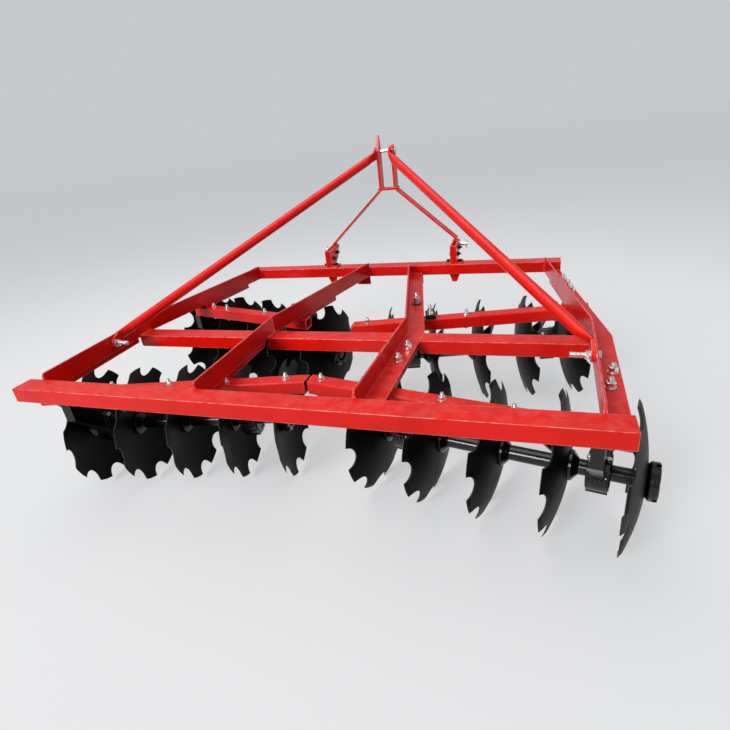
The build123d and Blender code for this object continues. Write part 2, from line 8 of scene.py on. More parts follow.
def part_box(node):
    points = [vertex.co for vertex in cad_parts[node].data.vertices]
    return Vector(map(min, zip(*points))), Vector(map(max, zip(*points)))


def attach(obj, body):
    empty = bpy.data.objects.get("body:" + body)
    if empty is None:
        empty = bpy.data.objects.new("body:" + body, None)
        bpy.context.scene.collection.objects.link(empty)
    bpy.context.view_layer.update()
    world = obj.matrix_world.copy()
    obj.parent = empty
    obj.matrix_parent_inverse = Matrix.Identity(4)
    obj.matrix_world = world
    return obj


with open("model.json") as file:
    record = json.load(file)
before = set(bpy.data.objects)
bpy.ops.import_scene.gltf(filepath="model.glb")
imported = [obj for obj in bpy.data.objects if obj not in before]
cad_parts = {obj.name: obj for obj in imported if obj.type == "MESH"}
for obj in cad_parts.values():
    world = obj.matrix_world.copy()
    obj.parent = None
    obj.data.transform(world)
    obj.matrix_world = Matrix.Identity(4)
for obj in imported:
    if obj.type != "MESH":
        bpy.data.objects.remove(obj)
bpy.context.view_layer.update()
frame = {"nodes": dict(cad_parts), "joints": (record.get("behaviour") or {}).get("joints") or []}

# ---------------------------------------------------------------------------------------------
# Welded frame: hot-rolled steel angle, flat bar, box and round tube. It is blasted, then sprayed
# with one thick coat of red enamel, which shows a fine orange peel. Its pale edges are a painted
# highlight, and the pink on faces that look up is dust with a painted sheen.
# ---------------------------------------------------------------------------------------------


def shader_group(name, inputs, outputs):
    """An empty node group with its sockets, and its input and output nodes."""
    group = bpy.data.node_groups.new(name, "ShaderNodeTree")
    for label, kind, value in inputs:
        socket = group.interface.new_socket(label, in_out="INPUT", socket_type=kind)
        socket.default_value = value
    for label, kind in outputs:
        group.interface.new_socket(label, in_out="OUTPUT", socket_type=kind)
    return group, group.nodes.new("NodeGroupInput"), group.nodes.new("NodeGroupOutput")


def wire(tree, *pairs):
    for source, target in pairs:
        tree.links.new(source, target)


def arithmetic(tree, operation, *values, clamp=False):
    """A Math node: each value is a number or a socket."""
    node = tree.nodes.new("ShaderNodeMath")
    node.operation = operation
    node.use_clamp = clamp
    for socket, value in zip(node.inputs, values):
        if isinstance(value, (int, float)):
            socket.default_value = value
        else:
            tree.links.new(value, socket)
    return node.outputs[0]


def speckle(tree, place, scale, detail=3.0, roughness=0.5):
    """Noise at a place, with its scale a number or a socket."""
    node = tree.nodes.new("ShaderNodeTexNoise")
    node.inputs["Detail"].default_value = detail
    node.inputs["Roughness"].default_value = roughness
    tree.links.new(place, node.inputs["Vector"])
    if isinstance(scale, (int, float)):
        node.inputs["Scale"].default_value = scale
    else:
        tree.links.new(scale, node.inputs["Scale"])
    return node.outputs["Fac"]


def graded(tree, value, low, high, bottom=0.0, top=1.0):
    """A value spread from one range to another, and clamped to it."""
    node = tree.nodes.new("ShaderNodeMapRange")
    limits = {"From Min": low, "From Max": high, "To Min": bottom, "To Max": top}
    for socket, number in limits.items():
        node.inputs[socket].default_value = number
    tree.links.new(value, node.inputs["Value"])
    return node.outputs["Result"]


def tint(tree, fac, first, second, blend="MIX"):
    """A colour mix: colours are tuples or sockets."""
    node = tree.nodes.new("ShaderNodeMix")
    node.data_type = "RGBA"
    node.blend_type = blend
    for socket, value in ((node.inputs[0], fac), (node.inputs[6], first), (node.inputs[7], second)):
        if isinstance(value, (int, float)):
            socket.default_value = value
        elif isinstance(value, tuple):
            socket.default_value = (*value, 1.0)
        else:
            tree.links.new(value, socket)
    return node.outputs[2]


# Rolled edges: the rounding that light finds on every bar's edge, and a mask along it for worn
# paint and for a painted edge highlight
edges, edges_in, edges_out = shader_group(
    "rolled_edges",
    [
        ("Radius", "NodeSocketFloat", 0.0015), ("Spread", "NodeSocketFloat", 0.6),
        ("Patch Scale", "NodeSocketFloat", 35.0),
    ],
    [("Edge", "NodeSocketFloat"), ("Normal", "NodeSocketVector")],
)
rounded = edges.nodes.new("ShaderNodeBevel")
rounded.samples = 6
flat = edges.nodes.new("ShaderNodeNewGeometry")
turn = edges.nodes.new("ShaderNodeVectorMath")
turn.operation = "DOT_PRODUCT"
edge_place = edges.nodes.new("ShaderNodeTexCoord").outputs["Object"]
wire(
    edges,
    (edges_in.outputs["Radius"], rounded.inputs["Radius"]),
    (rounded.outputs["Normal"], turn.inputs[0]),
    (flat.outputs["Normal"], turn.inputs[1]),
    (rounded.outputs["Normal"], edges_out.inputs["Normal"]),
)
# the agreement of rounded and flat normals, where the edge colour (worn paint, and a painted
# highlight) starts and where it is full
edge_colour_starts, edge_colour_full = 0.995, 0.88
edge_band = graded(edges, turn.outputs["Value"], edge_colour_starts, edge_colour_full)
patch_noise = speckle(edges, edge_place, edges_in.outputs["Patch Scale"], 5.0, 0.65)
patches = graded(edges, patch_noise, 0.35, 0.65)
edge_mask = arithmetic(edges, "MULTIPLY", edge_band, patches)
edge_mask = arithmetic(edges, "MULTIPLY", edge_mask, edges_in.outputs["Spread"], clamp=True)
wire(edges, (edge_mask, edges_out.inputs["Edge"]))

# Sprayed coat: orange peel, drift in its gloss, and a mask on faces that look up, for the dust that
# settles there and for a painted sheen of light on them
coat, coat_in, coat_out = shader_group(
    "sprayed_coat",
    [
        ("Peel Scale", "NodeSocketFloat", 420.0), ("Gloss", "NodeSocketFloat", 0.25),
        ("Gloss Drift", "NodeSocketFloat", 0.12), ("Dust And Sheen", "NodeSocketFloat", 0.25),
    ],
    [
        ("Shade", "NodeSocketFloat"), ("Roughness", "NodeSocketFloat"), ("Dust And Sheen", "NodeSocketFloat"),
        ("Height", "NodeSocketFloat"),
    ],
)
coat_place = coat.nodes.new("ShaderNodeTexCoord").outputs["Object"]
peel = speckle(coat, coat_place, coat_in.outputs["Peel Scale"], 2.0)
swell_scale, drift_scale, dust_and_sheen_scale = 55.0, 7.0, 26.0
swell = speckle(coat, coat_place, swell_scale, 2.0)
drift = graded(coat, speckle(coat, coat_place, drift_scale, 4.0), 0.3, 0.7)
facing = coat.nodes.new("ShaderNodeSeparateXYZ")
facing_normal = coat.nodes.new("ShaderNodeNewGeometry")
wire(coat, (facing_normal.outputs["Normal"], facing.inputs[0]))
upward = graded(coat, facing.outputs["Z"], 0.4, 1.0)
dust_and_sheen_patches = graded(coat, speckle(coat, coat_place, dust_and_sheen_scale, 6.0, 0.7), 0.42, 0.8)
dust_and_sheen_on_tops = arithmetic(coat, "MULTIPLY", upward, dust_and_sheen_patches)
dust_and_sheen = arithmetic(coat, "MULTIPLY", dust_and_sheen_on_tops, coat_in.outputs["Dust And Sheen"], clamp=True)
rough = arithmetic(
    coat, "MULTIPLY_ADD", drift, coat_in.outputs["Gloss Drift"], coat_in.outputs["Gloss"],
)
dust_and_sheen_dulls, swell_height = 0.5, 1.5
rough = arithmetic(coat, "MULTIPLY_ADD", dust_and_sheen, dust_and_sheen_dulls, rough, clamp=True)
relief = arithmetic(coat, "MULTIPLY_ADD", swell, swell_height, peel)
wire(
    coat,
    (drift, coat_out.inputs["Shade"]),
    (rough, coat_out.inputs["Roughness"]),
    (dust_and_sheen, coat_out.inputs["Dust And Sheen"]),
    (relief, coat_out.inputs["Height"]),
)


def painted(
    name, full, thin, edge_wear_and_highlight, dust_and_sheen_colour, radius, spread, gloss, drift_size, dust_and_sheen_amount, peel_depth,
    bare_metal, shine,
):
    """Enamel over steel: its full colour, its thin places, its edge colour (worn paint, and a
    painted highlight), and its dust with a painted sheen on faces that look up.
    """
    material = bpy.data.materials.new(name)
    material.use_nodes = True
    tree = material.node_tree
    surface = tree.nodes["Principled BSDF"]
    edge = tree.nodes.new("ShaderNodeGroup")
    edge.node_tree = edges
    edge.inputs["Radius"].default_value = radius
    edge.inputs["Spread"].default_value = spread
    spray = tree.nodes.new("ShaderNodeGroup")
    spray.node_tree = coat
    spray.inputs["Gloss"].default_value = gloss
    spray.inputs["Gloss Drift"].default_value = drift_size
    spray.inputs["Dust And Sheen"].default_value = dust_and_sheen_amount
    colour = tint(tree, spray.outputs["Shade"], full, thin)
    # edge colour: worn paint, and on the red enamel a painted highlight
    colour = tint(tree, edge.outputs["Edge"], colour, edge_wear_and_highlight)
    # colour on upward faces: real dust, and on the red enamel a painted sheen
    colour = tint(tree, spray.outputs["Dust And Sheen"], colour, dust_and_sheen_colour)
    skin_relief = tree.nodes.new("ShaderNodeBump")
    skin_relief.inputs["Strength"].default_value = 0.35
    skin_relief.inputs["Distance"].default_value = peel_depth
    surface.inputs["Specular IOR Level"].default_value = shine
    wire(
        tree,
        (colour, surface.inputs["Base Color"]),
        (spray.outputs["Roughness"], surface.inputs["Roughness"]),
        (spray.outputs["Height"], skin_relief.inputs["Height"]),
        (edge.outputs["Normal"], skin_relief.inputs["Normal"]),
        (skin_relief.outputs["Normal"], surface.inputs["Normal"]),
    )
    if bare_metal:
        bare = arithmetic(tree, "MULTIPLY", edge.outputs["Edge"], bare_metal)
        wire(tree, (bare, surface.inputs["Metallic"]))
    return material


# the pale pink edge colour is a painted highlight, and the pink dust colour on upward faces is
# mostly a painted sheen
red_enamel = painted(
    "red_enamel", full=(0.80, 0.008, 0.003), thin=(0.66, 0.006, 0.003), edge_wear_and_highlight=(0.97, 0.46, 0.40),
    dust_and_sheen_colour=(0.84, 0.26, 0.22), radius=0.0036, spread=1.3, gloss=0.20, drift_size=0.14,
    dust_and_sheen_amount=0.26, peel_depth=0.00025, bare_metal=0.0, shine=0.3,
)


def refinish(names, material):
    """Gives CAD nodes their material."""
    for name in names:
        mesh = frame["nodes"][name].data
        mesh.materials.clear()
        mesh.materials.append(material)


refinish(
    [
        "front_bar", "rear_bar", "middle_crossbar", "left_side_rail", "right_side_rail",
        "left_inner_rail", "right_inner_rail", "rail_cleats", "rear_rail_pads", "front_rail_pads",
        "mast_legs", "mast_spreader", "mast_uprights", "lower_hitch_brackets", "mast_braces",
        "rear_left_gang_beam", "rear_right_gang_beam", "front_left_gang_beam",
        "front_right_gang_beam",
    ],
    red_enamel,
)

# ---------------------------------------------------------------------------------------------
# Castings and shafts of the gangs: bearing housings, spools, end caps, square bolts and scrapers.
# All of them are dipped in black gloss enamel, which is only a little paler along the edges.
# ---------------------------------------------------------------------------------------------

gang_names = ["rear_left", "rear_right", "front_left", "front_right"]
black_enamel = painted(
    "black_enamel", full=(0.0025, 0.0025, 0.002), thin=(0.005, 0.005, 0.0045),
    edge_wear_and_highlight=(0.045, 0.045, 0.042), dust_and_sheen_colour=(0.06, 0.058, 0.05), radius=0.0022, spread=0.8, gloss=0.10,
    drift_size=0.12, dust_and_sheen_amount=0.05, peel_depth=0.0004, bare_metal=0.0, shine=0.45,
)
dipped_pieces = ("bearing_hangers", "spools", "end_caps", "gang_bolt", "scrapers")
refinish([f"{gang}_{piece}" for gang in gang_names for piece in dipped_pieces], black_enamel)

# ---------------------------------------------------------------------------------------------
# Discs: pressed boron steel, sharp round the notched rim. The black paint is thin, and worn to
# bright metal in patches along the sharp edge.
# ---------------------------------------------------------------------------------------------

disc_black = painted(
    "disc_black", full=(0.003, 0.003, 0.0022), thin=(0.011, 0.011, 0.010), edge_wear_and_highlight=(0.46, 0.46, 0.44),
    dust_and_sheen_colour=(0.07, 0.066, 0.055), radius=0.0020, spread=1.0, gloss=0.30, drift_size=0.18,
    dust_and_sheen_amount=0.05, peel_depth=0.0004, bare_metal=0.8, shine=0.04,
)
refinish([f"{gang}_discs" for gang in gang_names], disc_black)

# ---------------------------------------------------------------------------------------------
# Hitch pins: turned steel with bright zinc plate, faintly spangled, and a little grime on it. The
# same plate is on the rails', beams' and housings' nuts, bolts and washers.
# ---------------------------------------------------------------------------------------------

zinc_plate = bpy.data.materials.new("zinc_plate")
zinc_plate.use_nodes = True
plate = zinc_plate.node_tree
plated = plate.nodes["Principled BSDF"]
plated.inputs["Metallic"].default_value = 1.0
plate_place = plate.nodes.new("ShaderNodeTexCoord").outputs["Object"]
spangle = graded(plate, speckle(plate, plate_place, 90.0, 4.0), 0.3, 0.7)
grime = graded(plate, speckle(plate, plate_place, 40.0, 6.0, 0.7), 0.5, 0.75)
bright_zinc, dull_zinc, grime_colour = (0.92, 0.91, 0.88), (0.78, 0.78, 0.78), (0.42, 0.40, 0.37)
grime_cover = arithmetic(plate, "MULTIPLY", grime, 0.3)
plate_colour = tint(plate, spangle, bright_zinc, dull_zinc)
plate_colour = tint(plate, grime_cover, plate_colour, grime_colour)
plate_rough = arithmetic(plate, "MULTIPLY_ADD", spangle, 0.1, 0.2)
plate_rough = arithmetic(plate, "MULTIPLY_ADD", grime, 0.25, plate_rough)
plate_edge = plate.nodes.new("ShaderNodeGroup")
plate_edge.node_tree = edges
plate_edge.inputs["Radius"].default_value = 0.0006
plate_bump = plate.nodes.new("ShaderNodeBump")
plate_bump.inputs["Strength"].default_value = 0.25
plate_bump.inputs["Distance"].default_value = 0.0002
wire(
    plate,
    (plate_colour, plated.inputs["Base Color"]),
    (plate_rough, plated.inputs["Roughness"]),
    (speckle(plate, plate_place, 700.0, 2.0), plate_bump.inputs["Height"]),
    (plate_edge.outputs["Normal"], plate_bump.inputs["Normal"]),
    (plate_bump.outputs["Normal"], plated.inputs["Normal"]),
)
refinish(["top_link_pin", "lower_link_pins"], zinc_plate)

# ---------------------------------------------------------------------------------------------
# Rail bolts: zinc-plated M16, head below, with washer, spring washer and nut on the rail's flange
# and the rest of the thread standing out. They clamp the rails to the pads in short slots.
# ---------------------------------------------------------------------------------------------

rear_low, rear_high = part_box("rear_bar")


def on_frame(x, y, z):
    """A place in millimetres from the frame's middle, the rear bar's back and its top."""
    middle = (rear_low.x + rear_high.x) / 2
    return Vector((middle + x / 1000, rear_low.y + y / 1000, rear_high.z + z / 1000))


def round_ring(radius, height, sides=24):
    ring = []
    for i in range(sides):
        angle = i * math.tau / sides
        ring.append(Vector((radius * math.cos(angle), radius * math.sin(angle), height)))
    return ring


def hex_ring(across, height, drop=0.0, sides=24):
    """A hexagon's outline, its corners lower than its flats by what a chamfer takes off them."""
    ring = []
    for i in range(sides):
        angle = i * math.tau / sides
        off = (angle + math.pi / 6) % (math.pi / 3) - math.pi / 6
        radius = across / 2 / math.cos(off)
        lowered = height - drop * (radius - across / 2)
        ring.append(Vector((radius * math.cos(angle), radius * math.sin(angle), lowered)))
    return ring


def nut_rings(across, bottom, top):
    """A hexagon across its flats, chamfered above and below."""
    face, chamfer, slope = across * 0.46, across * 0.02, 0.5
    return [
        round_ring(face, bottom), hex_ring(across, bottom + chamfer, -slope),
        hex_ring(across, top - chamfer, slope), round_ring(face, top),
    ]


def thread_rings(radius, bottom, top, pitch=0.002):
    """A thread as stacked crests and roots, ending in a chamfer."""
    root, shoulder, tip = radius * 0.88, radius * 0.93, radius * 0.78
    rings = [round_ring(root, bottom)]
    height = bottom
    while height < top - pitch:
        rings += [
            round_ring(radius, height + pitch * 0.2), round_ring(radius, height + pitch * 0.4),
            round_ring(root, height + pitch * 0.9),
        ]
        height += pitch
    return [*rings, round_ring(shoulder, top - pitch / 2), round_ring(tip, top)]


def skinned(name, shapes):
    """A mesh of closed skins, each a list of rings with as many points in every ring."""
    points, faces = [], []
    for rings in shapes:
        count = len(rings[0])
        start = len(points)
        for ring in rings:
            points += ring
        for level in range(len(rings) - 1):
            low = start + level * count
            high = low + count
            for i in range(count):
                following = (i + 1) % count
                faces.append((low + i, low + following, high + following, high + i))
        faces.append(tuple(range(start + count - 1, start - 1, -1)))
        last = start + (len(rings) - 1) * count
        faces.append(tuple(range(last, last + count)))
    mesh = bpy.data.meshes.new(name)
    mesh.from_pydata([tuple(point) for point in points], [], faces)
    mesh.polygons.foreach_set("use_smooth", [True] * len(mesh.polygons))
    mesh.set_sharp_from_angle(angle=math.radians(32))
    return mesh


def washer_rings(radius, bottom, top, edge=0.0004):
    return [
        round_ring(radius - edge, bottom), round_ring(radius, bottom + edge),
        round_ring(radius, top - edge), round_ring(radius - edge, top),
    ]


def scattering_tree(name):
    """Geometry nodes that stand one fastener on each point, along the point's own direction."""
    tree = bpy.data.node_groups.new(name, "GeometryNodeTree")
    for label, kind in (
        ("Geometry", "NodeSocketGeometry"), ("Fastener", "NodeSocketObject"),
        ("Finish", "NodeSocketMaterial"), ("Spin Seed", "NodeSocketInt"),
        ("Size Spread", "NodeSocketFloat"),
    ):
        tree.interface.new_socket(label, in_out="INPUT", socket_type=kind)
    tree.interface.new_socket("Geometry", in_out="OUTPUT", socket_type="NodeSocketGeometry")
    entry, leave = tree.nodes.new("NodeGroupInput"), tree.nodes.new("NodeGroupOutput")
    facing_at = tree.nodes.new("GeometryNodeInputNamedAttribute")
    facing_at.data_type = "FLOAT_VECTOR"
    facing_at.inputs["Name"].default_value = "facing"
    upright = tree.nodes.new("FunctionNodeAlignRotationToVector")
    upright.axis = "Z"
    chance = tree.nodes.new("FunctionNodeRandomValue")
    chance.inputs[3].default_value = math.tau
    about = tree.nodes.new("FunctionNodeAxisAngleToRotation")
    spun = tree.nodes.new("FunctionNodeRotateRotation")
    spun.rotation_space = "LOCAL"
    size = tree.nodes.new("FunctionNodeRandomValue")
    shrink = tree.nodes.new("ShaderNodeMath")
    shrink.operation = "SUBTRACT"
    shrink.inputs[0].default_value = 1.0
    size.inputs[3].default_value = 1.0
    stand = tree.nodes.new("GeometryNodeInstanceOnPoints")
    source = tree.nodes.new("GeometryNodeObjectInfo")
    solid = tree.nodes.new("GeometryNodeRealizeInstances")
    finish = tree.nodes.new("GeometryNodeSetMaterial")
    wire(
        tree,
        (facing_at.outputs["Attribute"], upright.inputs["Vector"]),
        (entry.outputs["Spin Seed"], chance.inputs["Seed"]),
        (chance.outputs[1], about.inputs["Angle"]),
        (upright.outputs[0], spun.inputs[0]),
        (about.outputs[0], spun.inputs[1]),
        (entry.outputs["Size Spread"], shrink.inputs[1]),
        (shrink.outputs[0], size.inputs[2]),
        (entry.outputs["Spin Seed"], size.inputs["Seed"]),
        (entry.outputs["Geometry"], stand.inputs["Points"]),
        (entry.outputs["Fastener"], source.inputs["Object"]),
        (source.outputs["Geometry"], stand.inputs["Instance"]),
        (spun.outputs[0], stand.inputs["Rotation"]),
        (size.outputs[1], stand.inputs["Scale"]),
        (stand.outputs["Instances"], solid.inputs[0]),
        (solid.outputs[0], finish.inputs["Geometry"]),
        (entry.outputs["Finish"], finish.inputs["Material"]),
        (finish.outputs[0], leave.inputs[0]),
    )
    return tree


fastener_row = scattering_tree("fastener_row")


def stood_on(name, spots, shape, material, body, seed=5, spread=0.0):
    """One mesh of a shape repeated at spots, each a place and the way that it faces."""
    places = bpy.data.meshes.new(name)
    places.from_pydata([tuple(place) for place, _ in spots], [], [])
    facings = places.attributes.new("facing", "FLOAT_VECTOR", "POINT")
    facings.data.foreach_set("vector", [number for _, way in spots for number in way])
    host = bpy.data.objects.new(name, places)
    bpy.context.scene.collection.objects.link(host)
    single = bpy.data.objects.new(name + "_single", shape)
    bpy.context.scene.collection.objects.link(single)
    nodes = host.modifiers.new("row", "NODES")
    nodes.node_group = fastener_row
    sockets = fastener_row.interface.items_tree
    inputs = {item.name: item.identifier for item in sockets if item.in_out == "INPUT"}
    nodes[inputs["Fastener"]] = single
    nodes[inputs["Finish"]] = material
    nodes[inputs["Spin Seed"]] = seed
    nodes[inputs["Size Spread"]] = spread
    shown = host.evaluated_get(bpy.context.evaluated_depsgraph_get())
    mesh = bpy.data.meshes.new_from_object(shown)
    mesh.name = name
    bpy.data.objects.remove(host)
    bpy.data.objects.remove(single)
    placed(name, mesh, material, body)


def placed(name, mesh, material, body):
    """A finished mesh as a piece that moves with a body."""
    piece = bpy.data.objects.new(name, mesh)
    bpy.context.scene.collection.objects.link(piece)
    mesh.materials.clear()
    mesh.materials.append(material)
    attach(piece, body)


UP = Vector((0, 0, 1))
M16_FLATS, M16_RADIUS = 0.024, 0.008
rail_bolt_shape = skinned("rail_bolt", [
    washer_rings(0.0165, 0.0, 0.003),
    washer_rings(0.0125, 0.003, 0.0065),
    nut_rings(M16_FLATS, 0.0065, 0.0195),
    thread_rings(M16_RADIUS, 0.0195, 0.030),
    nut_rings(M16_FLATS, -0.0215, -0.0115),
])
rail_bolt_places = [
    (957, 377), (940, 283), (318, 508), (309, 404), (856, 1282), (873, 1192), (882, 1121),
]
flange_thickness = 0.006
flange_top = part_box("rear_rail_pads")[1].z + flange_thickness
rail_bolt_spots = []
for x, y in rail_bolt_places:
    for side in (-1, 1):
        place = on_frame(side * x, y, 0)
        rail_bolt_spots.append((Vector((place.x, place.y, flange_top)), UP))
stood_on(
    "rail_bolts", rail_bolt_spots, rail_bolt_shape, zinc_plate, "frame", seed=3,
)

# ---------------------------------------------------------------------------------------------
# Scraper bolts: zinc-plated M12 through the gang beams, with a washer and nut on top of the beam
# and a hex head below.
# ---------------------------------------------------------------------------------------------

M12_FLATS, M12_RADIUS = 0.019, 0.006
beam_bolt_shape = skinned("beam_bolt", [
    washer_rings(0.013, 0.0, 0.0025),
    nut_rings(M12_FLATS, 0.0025, 0.0125),
    thread_rings(M12_RADIUS, 0.0125, 0.024),
    washer_rings(0.013, -0.0505, -0.048),
    nut_rings(M12_FLATS, -0.0585, -0.0505),
])
beam_bolt_places = {
    "rear_left": (-63, -277, -483, -698), "rear_right": (67, 282, 488, 693),
    "front_left": (-483, -731, -824), "front_right": (70, 272, 471, 822),
}
# where each pair's beams would meet: how far ahead of the rear bar's back, and how they are swung
beam_root = 18
beam_lines = {"rear": (307, math.radians(-11.43)), "front": (805, math.radians(13.88))}
beam_bolt_spots = []
for gang, places in beam_bolt_places.items():
    root_y, swing = beam_lines[gang.split("_")[0]]
    side = 1 if gang.endswith("right") else -1
    slope = math.tan(swing)
    beam_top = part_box(f"{gang}_gang_beam")[1].z
    for x in places:
        place = on_frame(x, root_y + slope * side * (x - beam_root), 0)
        beam_bolt_spots.append((Vector((place.x, place.y, beam_top)), UP))
stood_on(
    "beam_bolts", beam_bolt_spots, beam_bolt_shape, zinc_plate, "frame", seed=8,
)

# ---------------------------------------------------------------------------------------------
# Brace bolts: long zinc-plated M16 through the side rails' legs and the braces' flattened feet,
# screwed in from outside so that the spare thread points inward.
# ---------------------------------------------------------------------------------------------

brace_bolt_shape = skinned("brace_bolt", [
    washer_rings(0.0155, 0.010, 0.013),
    nut_rings(M16_FLATS, 0.013, 0.026),
    thread_rings(M16_RADIUS, 0.026, 0.070),
    washer_rings(0.0155, -0.009, -0.006),
    nut_rings(M16_FLATS, -0.019, -0.009),
])
# the rails spread this much between the rear bar and their bend
rail_spread, rail_bend = 18, 647
rail_lean = math.atan2(rail_spread, rail_bend)
brace_bolt_spots = [
    (
        on_frame(side * 909.8, 425, -10),
        Vector((-side * math.cos(rail_lean), math.sin(rail_lean), 0)),
    )
    for side in (-1, 1)
]
stood_on(
    "brace_bolts", brace_bolt_spots, brace_bolt_shape, zinc_plate, "frame", seed=2,
)

# ---------------------------------------------------------------------------------------------
# Adjusting stud and clamp: a zinc stud with a black plate washer stands through the right inner
# rail's flange, and a black cast block with two studs lies on the front right gang beam.
# ---------------------------------------------------------------------------------------------

stud_shape = skinned("stud", [
    washer_rings(0.013, 0.004, 0.007),
    nut_rings(M16_FLATS, 0.007, 0.020),
    nut_rings(M16_FLATS, 0.021, 0.031),
    thread_rings(M16_RADIUS, 0.031, 0.050),
    nut_rings(M16_FLATS, -0.019, -0.006),
])
stud_place = on_frame(251, 975, -41)
stood_on("adjusting_stud", [(stud_place, UP)], stud_shape, zinc_plate, "frame")
plate_washer = [[point + stud_place for point in ring] for ring in washer_rings(0.022, 0.0, 0.004)]
placed(
    "stud_washer", skinned("stud_washer", [plate_washer]), black_enamel, "frame",
)


def eased_block(middle, half, ease, turned=0.0, sides=6):
    """A cast block's rings: a rounded rectangle drawn in a little at its top and bottom."""
    spin = Matrix.Rotation(turned, 3, "Z")
    half_length, half_depth, half_height = half

    def outline(inset, height):
        ring = []
        for corner in range(4):
            for step in range(sides + 1):
                angle = math.pi / 2 * (corner + step / sides)
                x_side = 1 if corner in (0, 3) else -1
                y_side = 1 if corner in (0, 1) else -1
                point = Vector((
                    x_side * (half_length - ease) + (ease - inset) * math.cos(angle),
                    y_side * (half_depth - ease) + (ease - inset) * math.sin(angle),
                    height,
                ))
                ring.append(Vector(middle) + spin @ point)
        return ring

    levels = [
        (ease * 0.7, -half_height), (ease * 0.2, -half_height + ease * 0.3),
        (0.0, -half_height + ease * 0.8), (0.0, half_height - ease * 0.8),
        (ease * 0.2, half_height - ease * 0.3), (ease * 0.7, half_height),
    ]
    return [outline(inset, height) for inset, height in levels]


clamp_x, clamp_half = 328, (0.021, 0.033, 0.011)
root_y, swing = beam_lines["front"]
clamp_middle = on_frame(clamp_x, root_y + math.tan(swing) * (clamp_x - beam_root), 0)
clamp_middle.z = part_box("front_right_gang_beam")[1].z + clamp_half[2]
placed(
    "beam_clamp", skinned("beam_clamp", [eased_block(clamp_middle, clamp_half, 0.006, swing)]),
    black_enamel, "frame",
)
clamp_stud_shape = skinned("clamp_stud", [
    washer_rings(0.012, 0.0, 0.0025),
    nut_rings(M12_FLATS, 0.0025, 0.0125),
    thread_rings(M12_RADIUS, 0.0125, 0.030),
])
clamp_stud_spots = [
    (clamp_middle + Vector((-0.004 * side, 0.018 * side, clamp_half[2])), UP) for side in (-1, 1)
]
stood_on(
    "clamp_studs", clamp_stud_spots, clamp_stud_shape, zinc_plate, "frame", seed=4,
)

# ---------------------------------------------------------------------------------------------
# Bearing housings: iron castings. Each has a lip round both faces, ribs over the barrel behind
# and below, a rim along each side of its foot, a grease nipple, and four zinc cap screws on top
# beside the arm, which hold the bearing in.
# ---------------------------------------------------------------------------------------------

# how far along each gang's shaft its two housings sit, in millimetres
bearing_seats = {
    "rear_left": (307, 926), "rear_right": (346, 973), "front_left": (308, 905),
    "front_right": (222, 838),
}
barrel_radius, half_width = 0.062, 0.030
sunk = barrel_radius - 0.001
housing_skins, screw_spots, nipple_spots = [], [], []
for joint in frame["joints"]:
    gang = joint["child"].removesuffix("_gang")
    out = Vector(joint["axis"]).normalized()
    ahead = Vector((-out.y, out.x, 0)) * (1 if out.x > 0 else -1)
    for seat in bearing_seats[gang]:
        centre = Vector(joint["pos_m"]) + out * seat / 1000

        def around(angle, radius, along):
            """A place by its angle from straight behind, downward."""
            way = ahead * -math.cos(angle) + UP * -math.sin(angle)
            return centre + way * radius + out * along

        # lips round both faces
        for face in (-1, 1):
            lip = []
            for step in range(49):
                angle = step * math.tau / 48 * 0.999
                lip.append([
                    around(angle, barrel_radius - 0.020, face * half_width),
                    around(angle, barrel_radius - 0.020, face * (half_width + 0.002)),
                    around(angle, barrel_radius - 0.012, face * (half_width + 0.0035)),
                    around(angle, barrel_radius - 0.006, face * (half_width + 0.002)),
                    around(angle, barrel_radius - 0.006, face * half_width),
                ])
            housing_skins.append(lip)
        # ribs over the barrel, which rise from it within their first two steps
        rib_height, rib_foot, rib_crest = 0.0042, 0.003, 0.0018
        for place in (-0.024, -0.012, 0.0, 0.012, 0.024):
            rib = []
            for step in range(13):
                angle = math.radians(-12 + step * 6.2)
                rise = rib_height * math.sin(math.pi * min(1.0, (step + 1.5) / 4))
                rib.append([
                    around(angle, sunk, place - rib_foot),
                    around(angle, barrel_radius + rise, place - rib_crest),
                    around(angle, barrel_radius + rise, place + rib_crest),
                    around(angle, sunk, place + rib_foot),
                ])
            housing_skins.append(rib)
        # the rims beside the foot
        for low in (math.radians(62), math.radians(118)):
            rim = []
            for step in range(9):
                along = -half_width + step * half_width / 4
                rim.append([
                    around(low - 0.10, sunk, along),
                    around(low - 0.05, barrel_radius + 0.006, along),
                    around(low + 0.05, barrel_radius + 0.006, along),
                    around(low + 0.10, sunk, along),
                ])
            housing_skins.append(rim)
        for reach in (-0.032, 0.030):
            for side in (-1, 1):
                place = centre + ahead * reach + out * side * 0.0245 + UP * barrel_radius
                screw_spots.append((place, UP))
        nipple_way = (-ahead + UP * 0.3).normalized()
        nipple_spots.append((centre - ahead * 0.050 + UP * 0.018 + out * 0.022, nipple_way))
housing_ribs = skinned("housing_ribs", housing_skins)
placed("housing_ribs", housing_ribs, black_enamel, "frame")
cap_screw_shape = skinned("cap_screw", [
    washer_rings(0.0095, 0.0, 0.002), nut_rings(0.016, 0.002, 0.0105),
])
stood_on("cap_screws", screw_spots, cap_screw_shape, zinc_plate, "frame", seed=11)
nipple_shape = skinned("grease_nipple", [
    nut_rings(0.009, 0.0, 0.005),
    [
        round_ring(0.0028, 0.005), round_ring(0.0024, 0.008), round_ring(0.0033, 0.0105),
        round_ring(0.002, 0.0135),
    ],
])
stood_on("grease_nipples", nipple_spots, nipple_shape, zinc_plate, "frame", seed=6)

# ---------------------------------------------------------------------------------------------
# Bracket bolts: black M12 bolts through each lower hitch bracket's base, the front bar and the
# clamp plate below it, and two more through the cheeks at the leg's foot.
# ---------------------------------------------------------------------------------------------

